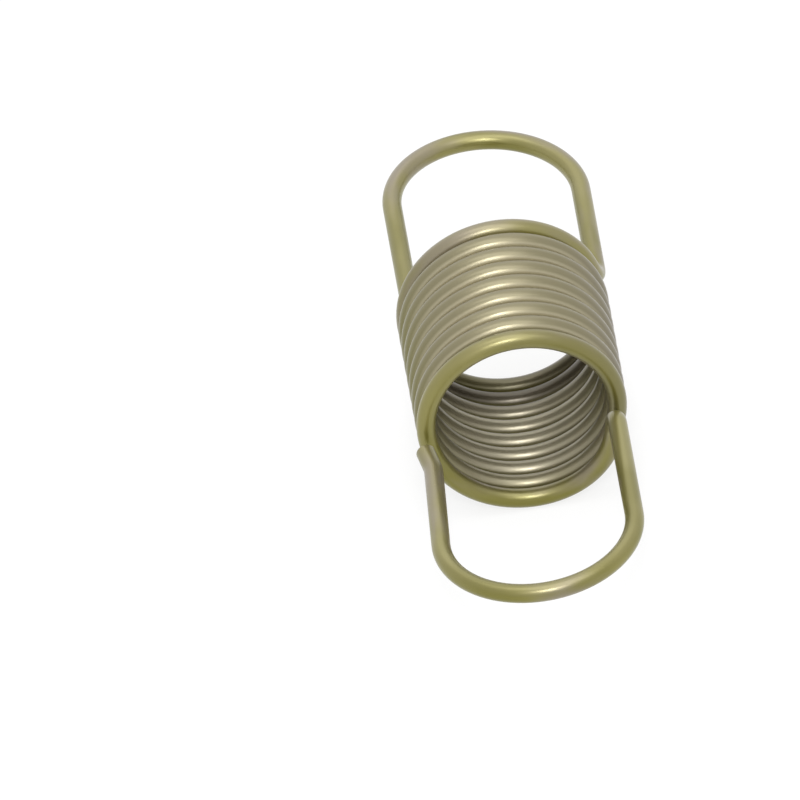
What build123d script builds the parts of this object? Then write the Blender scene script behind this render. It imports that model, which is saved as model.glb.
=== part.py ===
"""Extension spring with a long half-round loop at each end, bent from one length of round wire.

The coil lies along Y, front end towards -Y, on the plane z = 0. Seen from the front, the wire turns
clockwise as it goes back, so the coil is right-handed. At each end the last turn swings in, comes level
with the coil's axis on the right-hand side, bends through a right angle into a straight leg, goes round
half a circle and comes back on the left-hand side to a cut end that stops just short of the coil.
"""

from build123d import *
from math import asin, atan2, cos, degrees, hypot, pi, radians, sin
import os

# Driving dimensions, in millimetres and degrees
wire_diameter = 3.8
coil_radius = 19.1  # from the coil's axis to the middle of the wire
coil_turns = 9  # from the front leg to the back leg
turn_gap = 0.6  # air between neighbouring turns
bend_radius = 5.0  # middle of the wire, where the coil turns into a leg
cut_end_round = 0.3  # on the rim of each cut end

front_pull_angle = 70.0  # how much of the first turn is wound tighter than the coil
front_pull = 2.1  # how much smaller its radius is
front_leg_length = 28.1
front_loop_ease = 0.2  # how much wider than the coil the loop is bent
front_loop_angle = 183.0  # over half a circle, so that the free leg leans in
front_end_gap = 2.5  # air between the cut end and the coil

back_pull_angle = 45.0
back_pull = 0.6
back_leg_length = 25.1
back_loop_ease = -0.4
back_loop_twist = 6.0  # how far the loop is turned about the coil's axis
back_end_gap = 1.0

flare_angle = 12.0  # the front cut end is bent outwards
flare_radius = 10.0
flare_length = 5.0

# Worked out from them
wire_radius = wire_diameter / 2
pitch = wire_diameter + turn_gap
climb = pitch / (2 * pi * coil_radius)  # advance along the axis for each unit of wire in the coil
front_coil_start = front_pull_angle / 360  # in turns from the front leg
back_coil_end = coil_turns - back_pull_angle / 360


def coil_point(turns):
    """Middle of the wire in the coil, a number of turns from the front leg."""
    angle = 2 * pi * turns
    return Vector(coil_radius * cos(angle), pitch * turns, -coil_radius * sin(angle))


def coil_heading(angle, rise, way):
    """Heading of wire that nears the right-hand side, angle degrees short of it.

    rise is 1 where it comes up and -1 where it comes down, and way is its sense along Y.
    """
    return Vector(sin(radians(angle)), way * climb, rise * cos(radians(angle))).normalized()


def level_angle(pull, pull_angle):
    """Degrees short of the side at which the last turn ends, so that the leg is level with the axis.

    The bend lifts the wire by its own radius, and the tighter last turn has its centre off the axis.
    """
    radius = coil_radius - pull
    off_centre = pull * sin(radians(pull_angle))
    return degrees(atan2(bend_radius, radius) - asin(off_centre / hypot(radius, bend_radius)))


def arc(start, heading, towards, radius, angle):
    """Arc that leaves start along heading and curls through angle degrees towards a side."""

    def point(turned):
        return start + (heading * sin(turned) + towards * (1 - cos(turned))) * radius

    return ThreePointArc(start, point(radians(angle) / 2), point(radians(angle)))


def bend(start, heading, new_heading, radius):
    """Arc that leaves start along heading and ends along new_heading."""
    towards = (new_heading - heading * heading.dot(new_heading)).normalized()
    return arc(start, heading, towards, radius, heading.get_angle(new_heading))


def leg(start, rise, way, pull, pull_angle, length):
    """Last turn, right-angle bend and straight leg, from the coil's end outwards."""
    leg_heading = Vector(0, way, 0)
    side_heading = coil_heading(level_angle(pull, pull_angle), rise, way)
    last_turn = bend(start, coil_heading(pull_angle, rise, way), side_heading, coil_radius - pull)
    corner = bend(last_turn @ 1, side_heading, leg_heading, bend_radius)
    return Line(corner @ 1, corner @ 1 + leg_heading * length)


# Middle line of the wire, with the coil's axis on the Y axis
coil_plane = Plane(
    origin=(0, pitch * front_coil_start, 0),
    x_dir=(cos(2 * pi * front_coil_start), 0, -sin(2 * pi * front_coil_start)),
    z_dir=(0, 1, 0),
)
coil = coil_plane * Helix(pitch, pitch * (back_coil_end - front_coil_start), coil_radius)

with BuildLine() as middle_line:
    add(coil)

    # Front leg and loop, and the free leg with its flared cut end
    front_leg = leg(coil_point(front_coil_start), 1, -1, front_pull, front_pull_angle, front_leg_length)
    front_loop_radius = coil_radius + front_loop_ease
    front_loop = arc(
        front_leg @ 1, Vector(0, -1, 0), Vector(-1, 0, 0), front_loop_radius, front_loop_angle
    )
    lean = radians(front_loop_angle - 180)
    flared = radians(flare_angle) - lean
    flare_reach = flare_radius * (sin(lean) + sin(flared)) + flare_length * cos(flared)
    front_stop = coil_point(1 / 2).Y - wire_radius - front_end_gap
    free_length = (front_stop - flare_reach - (front_loop @ 1).Y) / cos(lean)
    free_heading = Vector(sin(lean), cos(lean), 0)
    free_leg = Line(front_loop @ 1, front_loop @ 1 + free_heading * free_length)
    outwards = Vector(-cos(lean), sin(lean), 0)
    flare = arc(free_leg @ 1, free_heading, outwards, flare_radius, flare_angle)
    flared_heading = Vector(-sin(flared), cos(flared), 0)
    cut_end = Line(flare @ 1, flare @ 1 + flared_heading * flare_length)

    # Back leg and loop, and the straight free leg
    back_leg = leg(coil_point(back_coil_end), -1, 1, back_pull, back_pull_angle, back_leg_length)
    twist = radians(back_loop_twist)
    back_loop = arc(
        back_leg @ 1, Vector(0, 1, 0), Vector(-cos(twist), 0, sin(twist)), coil_radius + back_loop_ease, 180
    )
    back_stop = coil_point(coil_turns - 1 / 2).Y + wire_radius + back_end_gap
    Line(back_loop @ 1, Vector((back_loop @ 1).X, back_stop, (back_loop @ 1).Z))

# The wire, centred over the origin and lying on the plane z = 0
reach = middle_line.line.bounding_box()
rest = Vector(-reach.center().X, -reach.center().Y, wire_radius - reach.min.Z)

with BuildPart() as extension_spring:
    with BuildSketch(Plane(origin=cut_end @ 1 + rest, z_dir=-flared_heading)):
        Circle(wire_radius)
    sweep(path=middle_line.line.moved(Location(rest)))
    fillet(extension_spring.faces().filter_by(GeomType.PLANE).edges(), radius=cut_end_round)

extension_spring.part.label = "extension_spring"
os.makedirs("parts", exist_ok=True)
export_step(extension_spring.part, "parts/extension_spring.step")
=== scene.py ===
"""Extension spring in yellow-passivated zinc: one length of round wire, coiled, with a loop at each end.

The wire is one piece. Its middle line is worked out as the bends that make it: straight runs, arcs and
a helix, each sampled as whole arrays. A round section is carried along that line, and both ends are
closed by the face that the cropping blade leaves. Lengths are in metres and named angles in degrees.
"""

import bpy
import numpy as np
from mathutils import Matrix, Vector


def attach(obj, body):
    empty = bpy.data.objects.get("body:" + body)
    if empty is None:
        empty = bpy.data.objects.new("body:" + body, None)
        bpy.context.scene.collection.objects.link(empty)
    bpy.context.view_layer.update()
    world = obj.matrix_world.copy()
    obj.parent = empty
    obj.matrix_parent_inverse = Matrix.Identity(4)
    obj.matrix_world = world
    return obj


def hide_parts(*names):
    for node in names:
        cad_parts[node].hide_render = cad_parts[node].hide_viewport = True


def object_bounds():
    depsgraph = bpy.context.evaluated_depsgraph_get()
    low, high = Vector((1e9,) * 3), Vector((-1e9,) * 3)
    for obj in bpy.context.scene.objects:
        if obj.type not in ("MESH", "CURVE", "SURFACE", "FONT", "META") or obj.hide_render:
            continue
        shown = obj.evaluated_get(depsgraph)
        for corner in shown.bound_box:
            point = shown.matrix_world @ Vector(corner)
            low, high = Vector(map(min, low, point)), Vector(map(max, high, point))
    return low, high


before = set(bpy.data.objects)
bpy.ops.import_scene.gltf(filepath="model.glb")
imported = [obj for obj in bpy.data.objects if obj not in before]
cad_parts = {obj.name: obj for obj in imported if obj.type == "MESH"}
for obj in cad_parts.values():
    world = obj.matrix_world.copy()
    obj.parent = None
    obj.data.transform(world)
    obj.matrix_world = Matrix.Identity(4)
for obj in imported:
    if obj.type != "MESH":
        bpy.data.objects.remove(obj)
cad_box = [list(corner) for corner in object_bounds()]

# ---------------------------------------------------------------- sizes of the spring
MM = 0.001
WIRE_RADIUS = 1.9 * MM
COIL_RADIUS = 19.1 * MM
COIL_TURNS = 9
TURN_GAP = 0.6 * MM
BEND_RADIUS = 5.0 * MM
FRONT_END_GAP, BACK_END_GAP = 2.5 * MM, 1.0 * MM  # air between the cut ends and the coil

# pull: how much tighter the last turn is wound, and over what angle
FRONT_PULL_ANGLE, FRONT_PULL, FRONT_LEG = 70.0, 2.1 * MM, 28.1 * MM
FRONT_LOOP_RADIUS, FRONT_LOOP_ANGLE = COIL_RADIUS + 0.2 * MM, 183.0
BACK_PULL_ANGLE, BACK_PULL, BACK_LEG = 45.0, 0.6 * MM, 25.1 * MM
BACK_LOOP_RADIUS, BACK_LOOP_TWIST = COIL_RADIUS - 0.4 * MM, 6.0
FLARE_ANGLE, FLARE_RADIUS, FLARE_LENGTH = 12.0, 10.0 * MM, 5.0 * MM

PITCH = 2 * WIRE_RADIUS + TURN_GAP
CLIMB = PITCH / (2 * np.pi * COIL_RADIUS)
RING_ANGLE = 3.75  # bend between two rings of the mesh
RING_STEP = 1.25 * MM  # most that two rings are apart on a straight run
SECTION_POINTS = 48  # on each ring


# ---------------------------------------------------------------- the wire's middle line
def unit(vector):
    """The vector at length 1."""
    return np.asarray(vector, float) / np.linalg.norm(vector)


def last_point(run):
    """Where a run of points and headings ends."""
    return run[0][-1]


def coil_run(start_turn, end_turn):
    """Right-handed helix about the Y axis: (r cos a, pitch a / 2 pi, -r sin a), with a the angle turned."""
    count = int(np.ceil((end_turn - start_turn) * 360 / RING_ANGLE)) + 1
    turns = np.linspace(start_turn, end_turn, count)
    angle = 2 * np.pi * turns
    points = np.stack([COIL_RADIUS * np.cos(angle), PITCH * turns, -COIL_RADIUS * np.sin(angle)], 1)
    headings = np.stack([-np.sin(angle), np.full(count, CLIMB), -np.cos(angle)], 1)
    return points, headings / np.linalg.norm(headings, axis=1, keepdims=True)


def arc_run(start, heading, towards, radius, angle):
    """Circle that leaves start along heading and curls towards a side.

    Its points are start + r (heading sin + towards (1 - cos)) of the angle turned so far.
    """
    count = max(4, int(np.ceil(angle / RING_ANGLE))) + 1
    turned = np.radians(np.linspace(0, angle, count))[:, None]
    points = start + radius * (heading * np.sin(turned) + towards * (1 - np.cos(turned)))
    return points, heading * np.cos(turned) + towards * np.sin(turned)


def straight_run(start, heading, length):
    """Points evenly spaced from start along heading: start + heading t, with t from 0 to length."""
    count = max(2, int(np.ceil(length / RING_STEP))) + 1
    points = start + heading * np.linspace(0, length, count)[:, None]
    return points, np.repeat(heading[None], count, 0)


def bend_run(start, heading, new_heading, radius):
    """Arc that leaves start along heading and ends along new_heading."""
    towards = unit(new_heading - heading * heading.dot(new_heading))
    angle = np.degrees(np.arccos(np.clip(heading.dot(new_heading), -1, 1)))
    return arc_run(start, heading, towards, radius, angle)


def side_heading(angle, rise, way):
    """Heading of wire that nears the right-hand side, angle degrees short of it.

    It is (sin angle, way climb, rise cos angle) at length 1. rise is 1 where the wire comes up and -1 where
    it comes down, and way is its sense along Y.
    """
    return unit([np.sin(np.radians(angle)), way * CLIMB, rise * np.cos(np.radians(angle))])


def level_angle(pull, pull_angle):
    """Degrees short of the side at which the last turn ends, so that the leg is level with the axis.

    The bend lifts the wire by its own radius, and the tighter last turn has its centre off the axis.
    """
    radius = COIL_RADIUS - pull
    off_centre = pull * np.sin(np.radians(pull_angle))
    return np.degrees(np.arctan2(BEND_RADIUS, radius) - np.arcsin(off_centre / np.hypot(radius, BEND_RADIUS)))


def leg_runs(start, rise, way, pull, pull_angle, length):
    """Tighter last turn, right-angle bend and straight leg, from the coil's end outwards."""
    outwards = np.array([0.0, way, 0.0])
    level = side_heading(level_angle(pull, pull_angle), rise, way)
    last_turn = bend_run(start, side_heading(pull_angle, rise, way), level, COIL_RADIUS - pull)
    corner = bend_run(last_point(last_turn), level, outwards, BEND_RADIUS)
    return [last_turn, corner, straight_run(last_point(corner), outwards, length)]


def front_runs(coil_start):
    """Front leg, loop and free leg, whose cut end is flared outwards."""
    runs = leg_runs(coil_start, 1, -1, FRONT_PULL, FRONT_PULL_ANGLE, FRONT_LEG)
    left, forwards = np.array([-1.0, 0, 0]), np.array([0.0, -1, 0])
    loop = arc_run(last_point(runs[-1]), forwards, left, FRONT_LOOP_RADIUS, FRONT_LOOP_ANGLE)
    lean = np.radians(FRONT_LOOP_ANGLE - 180)
    flared = np.radians(FLARE_ANGLE) - lean
    flare_reach = FLARE_RADIUS * (np.sin(lean) + np.sin(flared)) + FLARE_LENGTH * np.cos(flared)
    stop = PITCH / 2 - WIRE_RADIUS - FRONT_END_GAP
    free_heading = np.array([np.sin(lean), np.cos(lean), 0])
    free_length = (stop - flare_reach - last_point(loop)[1]) / np.cos(lean)
    free = straight_run(last_point(loop), free_heading, free_length)
    outwards = np.array([-np.cos(lean), np.sin(lean), 0])
    flare = arc_run(last_point(free), free_heading, outwards, FLARE_RADIUS, FLARE_ANGLE)
    end = straight_run(last_point(flare), flare[1][-1], FLARE_LENGTH)
    return runs + [loop, free, flare, end]


def back_runs(coil_end):
    """Back leg, twisted loop and straight free leg."""
    runs = leg_runs(coil_end, -1, 1, BACK_PULL, BACK_PULL_ANGLE, BACK_LEG)
    twist = np.radians(BACK_LOOP_TWIST)
    towards = np.array([-np.cos(twist), 0, np.sin(twist)])
    backwards = np.array([0.0, 1, 0])
    loop = arc_run(last_point(runs[-1]), backwards, towards, BACK_LOOP_RADIUS, 180)
    stop = PITCH * (COIL_TURNS - 0.5) + WIRE_RADIUS + BACK_END_GAP
    free = straight_run(last_point(loop), -backwards, last_point(loop)[1] - stop)
    return runs + [loop, free]


def middle_line():
    """The whole wire from the front cut end to the back one, as points and headings.

    Neighbouring runs share a point, so each but the last gives up its own last one.
    """
    coil = coil_run(FRONT_PULL_ANGLE / 360, COIL_TURNS - BACK_PULL_ANGLE / 360)
    front = [(points[::-1], -headings[::-1]) for points, headings in reversed(front_runs(coil[0][0]))]
    runs = front + [coil] + back_runs(last_point(coil))
    points = np.concatenate([run[0][:-1] for run in runs] + [runs[-1][0][-1:]])
    headings = np.concatenate([run[1][:-1] for run in runs] + [runs[-1][1][-1:]])
    return points, headings


# ---------------------------------------------------------------- the round section carried along it
EDGE_ROLL = 0.35 * MM  # rounding that cropping leaves on the cut ends' rims
END_STEPS = 6  # rings in that rounding
FACE_RINGS = 5  # steps from a cut face's rim to its middle
FRONT_YELLOW_TURNS, BACK_YELLOW_TURNS = 0.6, 0.1  # end turns that are as yellow as the loops


def carried_frames(headings):
    """Two sides square to each heading, carried along without twist.

    Each side is the last one less its part along the new heading, and the other is their cross product.
    """
    side = np.empty_like(headings)
    side[0] = unit(np.cross(headings[0], [0, 0, 1]))
    for i in range(1, len(headings)):
        side[i] = unit(side[i - 1] - headings[i] * headings[i].dot(side[i - 1]))
    return side, np.cross(headings, side)


def rounded_ends(points, headings):
    """Rings that roll in over each rim: back from the end by r (1 - sin), narrower by r (1 - cos)."""
    roll = np.linspace(0, np.pi / 2, END_STEPS + 1)
    back, narrow = EDGE_ROLL * (1 - np.sin(roll)), EDGE_ROLL * (1 - np.cos(roll))
    start = points[0] + headings[0] * back[::-1, None]
    end = points[-1] - headings[-1] * back[:, None]
    line = np.concatenate([start, points[1:-1], end])
    start_way, end_way = (np.repeat(way, END_STEPS + 1, 0) for way in (headings[:1], headings[-1:]))
    way = np.concatenate([start_way, headings[1:-1], end_way])
    radius = np.full(len(line), WIRE_RADIUS)
    radius[: END_STEPS + 1] -= narrow[::-1]
    radius[-END_STEPS - 1 :] -= narrow
    return line, way, radius


def tube_faces(rings):
    """Quads between neighbouring rings, and a fan of triangles to the middle of each end.

    The middles are the two vertices that follow the rings' own.
    """
    k = SECTION_POINTS
    here = np.arange(k)
    over = (here + 1) % k
    ring_start = k * np.arange(rings - 1)[:, None]
    quads = np.stack([ring_start + here, ring_start + over, ring_start + over + k, ring_start + here + k], -1)
    last_ring = (rings - 1) * k
    start_fan = np.stack([np.full(k, rings * k), over, here], 1)
    end_fan = np.stack([np.full(k, rings * k + 1), here + last_ring, over + last_ring], 1)
    return quads.reshape(-1, 4).tolist() + start_fan.tolist() + end_fan.tolist()


def where_it_lies(points):
    """How far the middle line moves to lie on the floor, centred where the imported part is."""
    centre = np.mean(cad_box, 0)
    low, high = points.min(0), points.max(0)
    return np.array([*(centre - (low + high) / 2)[:2], cad_box[0][2] + WIRE_RADIUS - low[2]])


def wire_mesh(name):
    """Closed tube: middle line + radius (side cos + up sin), with rings that shrink over each cut face.

    Its attributes tell the material where a point was on the straight wire, and which way it faces now.
    """
    points, headings = middle_line()
    rest = where_it_lies(points)
    line, way, radius = rounded_ends(points, headings)
    side, up = carried_frames(way)
    along = np.concatenate([[0], np.cumsum(np.linalg.norm(np.diff(line, axis=0), axis=1))])

    # the cut faces: more rings on the first and the last place, each narrower
    shrink = np.linspace(1, 0, FACE_RINGS + 1)[1:-1]
    n = len(line)
    order = np.concatenate([np.zeros(len(shrink), int), np.arange(n), np.full(len(shrink), n - 1)])
    ring_radius = np.concatenate([radius[0] * shrink[::-1], radius, radius[-1] * shrink])
    around = 2 * np.pi * np.arange(SECTION_POINTS) / SECTION_POINTS
    across, upright = np.cos(around), np.sin(around)
    spoke = side[order, None] * across[:, None] + up[order, None] * upright[:, None]
    tube = line[order, None] + spoke * ring_radius[:, None, None] + rest
    vertices = np.concatenate([tube.reshape(-1, 3), [line[0] + rest, line[-1] + rest]])

    mesh = bpy.data.meshes.new(name)
    mesh.from_pydata(vertices.tolist(), [], tube_faces(len(order)))
    mesh.polygons.foreach_set("use_smooth", np.ones(len(mesh.polygons), bool))

    # the wire as it was before bending: distance along it, and the place in its section
    distance = np.repeat(along[order][:, None], SECTION_POINTS, 1)
    straight = np.stack([distance, ring_radius[:, None] * across, ring_radius[:, None] * upright], -1)
    straight = np.concatenate([straight.reshape(-1, 3), [[along[0], 0, 0], [along[-1], 0, 0]]])
    mesh.attributes.new("straight_wire", "FLOAT_VECTOR", "POINT").data.foreach_set("vector", straight.ravel())

    # which way the surface faces: away from the coil's axis, and towards the neighbouring turn
    radial = tube - np.array([rest[0], 0, rest[2]])
    radial[..., 1] = 0
    outward = (spoke * radial).sum(-1) / np.maximum(np.linalg.norm(radial, axis=-1), 1e-6)
    turns = line[order, 1] / PITCH
    past_front, short_of_back = turns - FRONT_YELLOW_TURNS, COIL_TURNS - BACK_YELLOW_TURNS - turns
    in_coil = np.clip(past_front, 0, 1) * np.clip(short_of_back, 0, 1)
    for attribute, values in (
        ("outward", outward.ravel()),
        ("in_coil", np.repeat(in_coil, SECTION_POINTS)),
        ("faces_turn", (in_coil[:, None] * np.abs(spoke[..., 1])).ravel()),
    ):
        values = np.concatenate([values, [0, 0]])
        mesh.attributes.new(attribute, "FLOAT", "POINT").data.foreach_set("value", values)
    mesh.update()
    wire = bpy.data.objects.new(name, mesh)
    bpy.context.scene.collection.objects.link(wire)
    return wire


# ---------------------------------------------------------------- the finish
class Nodes:
    """A material's node tree, with its nodes made and linked in one call each."""

    def __init__(self, tree):
        self.tree = tree
        tree.nodes.clear()

    def add(self, kind, inputs=(), **settings):
        """A new node, whose inputs are values or the outputs of others."""
        node = self.tree.nodes.new("ShaderNode" + kind)
        for key, value in settings.items():
            setattr(node, key, value)
        for key, value in dict(inputs).items():
            if isinstance(value, bpy.types.NodeSocket):
                self.tree.links.new(value, node.inputs[key])
            else:
                node.inputs[key].default_value = value
        return node

    def math(self, operation, a, b=0.0):
        """One sum, product or the like of two values."""
        return self.add("Math", {0: a, 1: b}, operation=operation).outputs[0]

    def ramp(self, value, low, high, to_low=0.0, to_high=1.0):
        """Smooth step from to_low to to_high as value goes from low to high."""
        return self.add(
            "MapRange",
            {"Value": value, "From Min": low, "From Max": high, "To Min": to_low, "To Max": to_high},
            clamp=True,
            interpolation_type="SMOOTHSTEP",
        ).outputs[0]

    def blend(self, share, a, b):
        """Colour a where share is 0 and colour b where it is 1, by the Mix node's colour sockets."""
        return self.add("Mix", {0: share, 6: a, 7: b}, data_type="RGBA").outputs[2]

    def noise(self, coordinates, scale, detail, place=(0, 0, 0)):
        """Noise with about as many lumps to a metre as scale says along each axis."""
        mapping = self.add("Mapping", {"Vector": coordinates, "Scale": scale, "Location": place})
        noise = self.add("TexNoise", {"Vector": mapping.outputs[0], "Scale": 1.0, "Detail": detail})
        return noise.outputs["Fac"]

    def attribute(self, name, output="Fac"):
        """A value that the wire's mesh holds at each point."""
        return self.add("Attribute", attribute_name=name).outputs[output]


def colour(red, green, blue):
    """A display colour, 0 to 255, as the linear one that a shader takes."""
    c = np.array([red, green, blue]) / 255
    return (*np.where(c <= 0.04045, c / 12.92, ((c + 0.055) / 1.055) ** 2.4), 1.0)


# tints of the film on the wire, and painted light and shade on it
OLIVE, STRAW = colour(110, 105, 18), colour(128, 122, 58)
MAUVE = colour(134, 124, 110)
PAINTED_TOP_SHEEN = colour(138, 130, 110)  # painted sheen: paler and greyer on the upper side of the loops, where the light from above falls
# the coil's left and right tints are its film; its lighter top tint is painted light
COIL_LEFT, COIL_RIGHT, COIL_TOP_PAINTED_LIGHT = colour(106, 101, 46), colour(112, 105, 84), colour(121, 114, 84)
PAINTED_GROOVE_LIGHT = colour(170, 162, 134)  # painted light: lighter where neighbouring turns face each other, in the grooves where shade falls
# painted light and shade in the bore: its floor lighter, its sides and its depth darker
BORE_FLOOR_PAINTED_LIGHT, BORE_SIDES_PAINTED_SHADE, BORE_DEPTH_PAINTED_SHADE = colour(142, 135, 112), colour(100, 94, 60), colour(78, 70, 52)

# where one tint, or painted light and shade, passes into the next: x across the coil, z up, y into the bore
ACROSS_COIL, UNEVEN_EDGE = (-16 * MM, 18 * MM), 20 * MM
UP_COIL, UP_GROOVES = (22 * MM, 40 * MM), (26 * MM, 40 * MM)
ACROSS_BORE, INTO_BORE = (8 * MM, 19 * MM), (6 * MM, 13 * MM)

# lumps to a metre, along the wire and in its section
PATCHES, STAINS = (45, 160, 160), (28, 110, 110)
DRAWING_LINES, CRYSTAL_GRAIN = (60, 5200, 5200), (1100, 1100, 1100)


def film_and_painted_light_colour(n, straight, x, y, z):
    """Yellow film in soft patches on the loops, thin and greyer on the coil, with painted light and shade:
    paler tops, a lighter top of the coil, lighter grooves, and in the bore a lighter floor with darker sides
    and depth.
    """
    in_coil, outward = n.attribute("in_coil"), n.attribute("outward")
    upward = n.add("SeparateXYZ", {"Vector": n.add("TexCoord").outputs["Normal"]}).outputs["Z"]

    # on the loops: patches drawn out along the wire, and stains over them
    patches = n.noise(straight, PATCHES, 2.0)
    stains = n.noise(straight, STAINS, 3.0, (3, 5, 7))
    film = n.blend(n.ramp(patches, 0.38, 0.62), OLIVE, STRAW)
    film = n.blend(n.ramp(stains, 0.48, 0.66, 0.0, 0.85), film, MAUVE)
    # painted sheen: paler and greyer where the surface faces up
    film = n.blend(n.ramp(upward, 0.0, 1.0, 0.0, 0.2), film, PAINTED_TOP_SHEEN)

    # on the coil: from one side to the other, with an uneven edge, and painted light that makes it lighter
    # towards the top, where the light from above falls
    uneven = n.math("MULTIPLY", n.math("SUBTRACT", patches, 0.5), UNEVEN_EDGE)
    side = n.ramp(n.math("ADD", x, uneven), *ACROSS_COIL)
    coil_tint_and_painted_light = n.blend(side, COIL_LEFT, COIL_RIGHT)
    coil_tint_and_painted_light = n.blend(n.ramp(z, *UP_COIL), coil_tint_and_painted_light, COIL_TOP_PAINTED_LIGHT)
    film = n.blend(n.math("MULTIPLY", in_coil, n.ramp(outward, -0.1, 0.6, 0.75, 1.0)), film, coil_tint_and_painted_light)

    # painted light in the grooves between turns, most of all at the top
    groove = n.ramp(n.attribute("faces_turn"), 0.6, 0.95)
    film = n.blend(n.math("MULTIPLY", groove, n.ramp(z, *UP_GROOVES, 0.3, 1.0)), film, PAINTED_GROOVE_LIGHT)

    # in the bore, a browner tint with painted light and shade: lighter on its floor, where the lamps reach
    # in, darker at its sides and darkest deep inside
    bore_painted_light_and_shade = n.blend(n.ramp(n.math("ABSOLUTE", x), *ACROSS_BORE), BORE_FLOOR_PAINTED_LIGHT, BORE_SIDES_PAINTED_SHADE)
    bore_painted_light_and_shade = n.blend(n.ramp(y, *INTO_BORE), bore_painted_light_and_shade, BORE_DEPTH_PAINTED_SHADE)
    return n.blend(n.math("MULTIPLY", in_coil, n.ramp(outward, -0.2, -0.6)), film, bore_painted_light_and_shade)


def yellow_zinc():
    """Satin zinc under a yellow passivation film, with drawing lines along the wire and a fine grain."""
    material = bpy.data.materials.new("yellow_zinc")
    material.use_nodes = True
    n = Nodes(material.node_tree)
    straight = n.attribute("straight_wire", "Vector")
    place = n.add("SeparateXYZ", {"Vector": n.add("TexCoord").outputs["Object"]}).outputs

    lines = n.noise(straight, DRAWING_LINES, 3.0)
    grain = n.noise(straight, CRYSTAL_GRAIN, 2.0)
    height = n.math("ADD", n.math("MULTIPLY", lines, 0.6), n.math("MULTIPLY", grain, 0.4))
    bump = n.add("Bump", {"Height": height, "Strength": 0.03, "Distance": 0.06 * MM})
    satin = n.math("ADD", n.math("MULTIPLY", lines, 0.5), n.math("MULTIPLY", grain, 0.5))

    shader = n.add(
        "BsdfPrincipled",
        {
            "Base Color": film_and_painted_light_colour(n, straight, place["X"], place["Y"], place["Z"]),
            "Metallic": 0.6,
            "Coat Weight": 0.35,
            "Coat Roughness": 0.25,
            "Roughness": n.ramp(satin, 0.3, 0.7, 0.30, 0.37),
            "Specular IOR Level": 1.0,
            "Normal": bump.outputs[0],
        },
    )
    n.add("OutputMaterial", {"Surface": shader.outputs[0]})
    return material


# ---------------------------------------------------------------- floor, lamps and camera
FLOOR_SIZE = 12.0
MATT_WHITE = (0.93, 0.93, 0.93, 1)
FLOOR_GLOW = 0.8  # how much of the floor is seen as plain white, and the rest takes the shadow
SKY = 0.8  # how bright the surroundings are as a light, where 1 is white
LAMPS_AIM = Vector((0, 0, 20 * MM))
CAMERA_DISTANCE = 0.5
PICTURE_PIXELS, PIXELS_TO_A_MM = 800, 5.075
PICTURE_WIDTH = PICTURE_PIXELS / PIXELS_TO_A_MM * MM


def seen(n):
    """1 on the rays by which a surface is seen, straight, mirrored or through glass, and 0 on the others."""
    path = n.add("LightPath").outputs
    either = n.math("MAXIMUM", path["Is Camera Ray"], path["Is Glossy Ray"])
    return n.math("MAXIMUM", either, path["Is Transmission Ray"])


def pale_floor():
    """Matt white floor that the spring lies on."""
    mesh = bpy.data.meshes.new("floor")
    h, z = FLOOR_SIZE / 2, cad_box[0][2]
    mesh.from_pydata([(-h, -h, z), (h, -h, z), (h, h, z), (-h, h, z)], [], [(0, 1, 2, 3)])
    floor = bpy.data.objects.new("floor", mesh)
    bpy.context.scene.collection.objects.link(floor)
    material = bpy.data.materials.new("white_floor")
    material.use_nodes = True
    n = Nodes(material.node_tree)
    paper = n.add("BsdfDiffuse", {"Color": MATT_WHITE})
    white = n.add("Emission", {"Color": (1, 1, 1, 1), "Strength": 1.0})
    share = n.math("MULTIPLY", seen(n), FLOOR_GLOW)
    both = n.add("MixShader", {0: share, 1: paper.outputs[0], 2: white.outputs[0]})
    n.add("OutputMaterial", {"Surface": both.outputs[0]})
    mesh.materials.append(material)
    return floor


def soft_world():
    """Even white surroundings, seen as white and giving the light of a dimmer sky."""
    world = bpy.data.worlds.new("studio")
    world.use_nodes = True
    bpy.context.scene.world = world
    n = Nodes(world.node_tree)
    strength = n.ramp(seen(n), 0, 1, SKY, 1.0)
    background = n.add("Background", {"Color": (1, 1, 1, 1), "Strength": strength})
    n.add("OutputWorld", {"Surface": background.outputs[0]})


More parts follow.
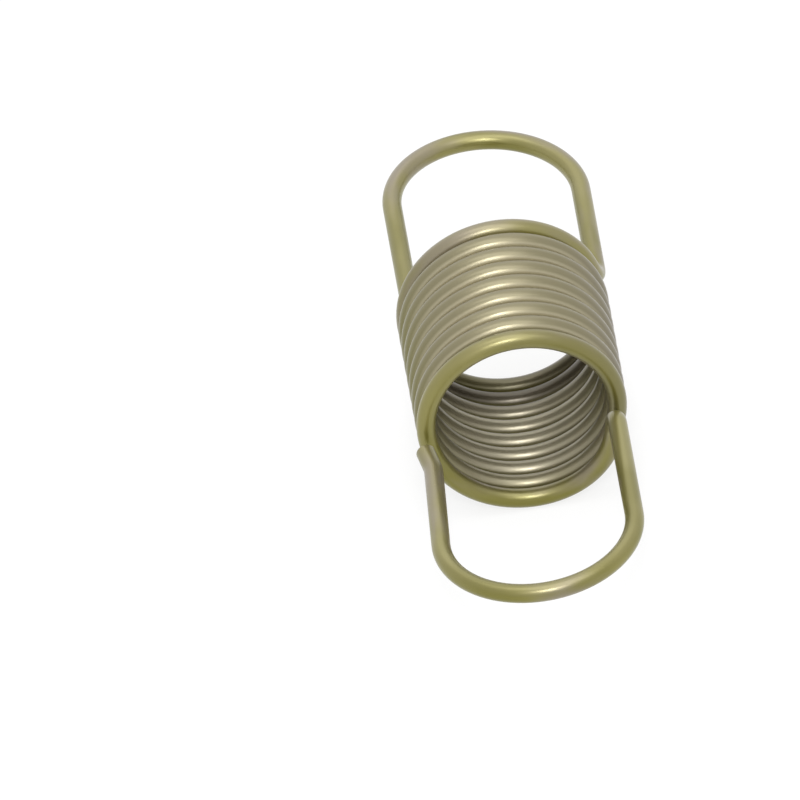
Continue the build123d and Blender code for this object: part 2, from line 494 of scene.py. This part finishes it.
def panel(name, position, width, length, glow):
    """Rectangular lamp that faces the spring; glow is what it adds to the white seen behind it."""
    lamp = bpy.data.objects.new(name, bpy.data.lights.new(name, "AREA"))
    lamp.data.shape, lamp.data.energy = "RECTANGLE", np.pi * width * length * glow
    lamp.data.size, lamp.data.size_y = width, length
    lamp.location = position
    lamp.rotation_euler = (LAMPS_AIM - Vector(position)).to_track_quat("-Z", "Y").to_euler()
    bpy.context.scene.collection.objects.link(lamp)


def camera_over(spot, across, above, elevation, roll, width):
    """Parallel view from the front, raised by elevation and rolled about its own axis.

    Its middle is off the spot by so much across and above in the picture, and width is what it takes in.
    """
    e, r = np.radians(elevation), np.radians(roll)
    forward = Vector((0, np.cos(e), -np.sin(e)))
    right = Vector((np.cos(r), -np.sin(r) * np.sin(e), -np.sin(r) * np.cos(e)))
    up = right.cross(forward)
    camera = bpy.data.objects.new("camera", bpy.data.cameras.new("camera"))
    camera.data.type, camera.data.ortho_scale = "ORTHO", width
    camera.data.clip_start, camera.data.clip_end = 0.01, 10
    place = Matrix((right, up, -forward)).transposed().to_4x4()
    place.translation = spot + right * across + up * above - forward * CAMERA_DISTANCE
    camera.matrix_world = place
    bpy.context.scene.collection.objects.link(camera)
    bpy.context.scene.camera = camera


# ---------------------------------------------------------------- the scene
wire = wire_mesh("spring_wire")
wire.data.materials.append(yellow_zinc())
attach(wire, "root")
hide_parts("extension_spring")

pale_floor()
soft_world()
panel("back_panel", (0, 1.2, 0.55), 2.4, 1.1, 0.2)
panel("overhead", (0, 0.22, 0.80), 0.9, 1.35, 0.45)
panel("strip", (0.08, -0.10, 0.78), 0.42, 0.9, 1.6)
panel("front_strip", (0.02, -0.70, 0.72), 0.26, 0.55, 4.5)
panel("small_lamp", (0, -0.70, 0.78), 0.1, 0.1, 62)

# the coil's axis where the front turn starts, which is the middle line's own origin
coil_front = Vector(where_it_lies(middle_line()[0]))
camera_over(
    coil_front,
    across=-24.37 * MM,
    above=5.08 * MM,
    elevation=38.82,
    roll=10.44,
    width=PICTURE_WIDTH,
)

bpy.context.scene.view_settings.view_transform = "Standard"
